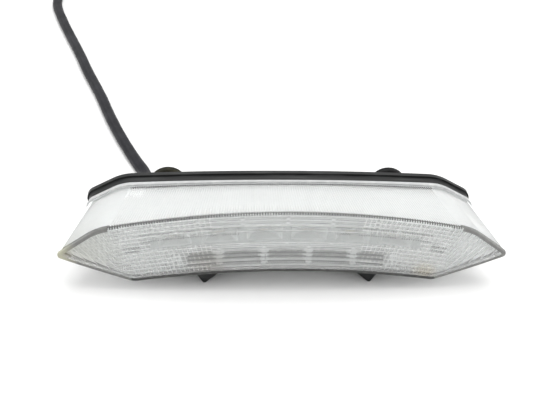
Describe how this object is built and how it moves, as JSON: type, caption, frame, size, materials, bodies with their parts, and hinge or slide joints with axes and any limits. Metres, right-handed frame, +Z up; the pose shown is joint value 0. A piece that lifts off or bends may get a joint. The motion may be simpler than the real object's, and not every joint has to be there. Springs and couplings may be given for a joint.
{
  "type": "tail light",
  "caption": "Wide tail light with pointed ends: clear prismatic lens on a shallow black housing, two rubber-mounted rear studs, and a short flat harness to a latching connector.",
  "frame": {"origin": "centre of the light's own box, without its harness, at the ground under its two locating feet; Y = 0 is also the joint between lens and housing", "axes": "+X across the light to its right as seen from behind the vehicle, +Y forward into the vehicle along the mounting studs, +Z up"},
  "size_m": [0.2931, 0.5317, 0.0511],
  "materials": {
    "clear_lens": "clear polycarbonate with prism optics, lightly hazed",
    "black_housing": "moulded black ABS, satin, scuffed on its edges",
    "seal_bead": "soft black butyl",
    "reflector": "white-silver reflective plastic",
    "board": "white solder mask",
    "led_clear": "clear epoxy over a pale base",
    "resistor_body": "lacquered",
    "diode_body": "moulded epoxy",
    "zinc_steel": "zinc plated",
    "natural_nylon": "natural",
    "wire_blue": "PVC insulation",
    "wire_yellow": "PVC insulation",
    "wire_black": "PVC insulation",
    "aged_rubber": "weathered, olive-brown, crumbling at its edge",
    "black_rubber": "satin",
    "vinyl_sheath": "soft black vinyl, flattened, faintly dusty",
    "shrink_sleeve": "heat-shrunk, satin",
    "lead_insulation": "PVC insulation",
    "seal_silicone": "silicone",
    "terminal_brass": "tinned",
    "lock_nylon": "natural",
    "connector_nylon": "glass-filled, matt"
  },
  "bodies": {
    "light": {"lens": "clear_lens", "housing": "black_housing", "lens_seal": "seal_bead", "reflector_tray": "reflector", "led_board": "board", "leds_upper_row": "led_clear", "leds_lower_row": "led_clear", "resistors": "resistor_body", "polarity_diodes": "diode_body", "board_screws": "zinc_steel", "board_terminal": "natural_nylon", "wire_tail": "wire_blue", "wire_brake": "wire_yellow", "wire_ground": "wire_black", "mount_stud_left": "zinc_steel", "mount_stud_right": "zinc_steel", "mount_grommet_left": "aged_rubber", "mount_grommet_right": "black_rubber", "mount_collars": "zinc_steel", "wire_grommet": "black_rubber", "vent_cap": "black_rubber", "harness_sheath": "vinyl_sheath", "sheath_sleeve": "shrink_sleeve", "connector_leads": "lead_insulation", "connector_seals": "seal_silicone", "connector_terminals": "terminal_brass", "connector_lock": "lock_nylon", "connector_housing": "connector_nylon"},
    "latch": {"connector_latch": "connector_nylon"}
  },
  "joints": [
    {"name": "latch_rock", "type": "hinge", "parent": "light", "child": "latch", "pos_m": [-0.058, 0.486, 0.0109], "axis": [0, -1, 0], "range_deg": [0, 8], "stiffness_Nm_per_rad": 0.2}
  ]
}
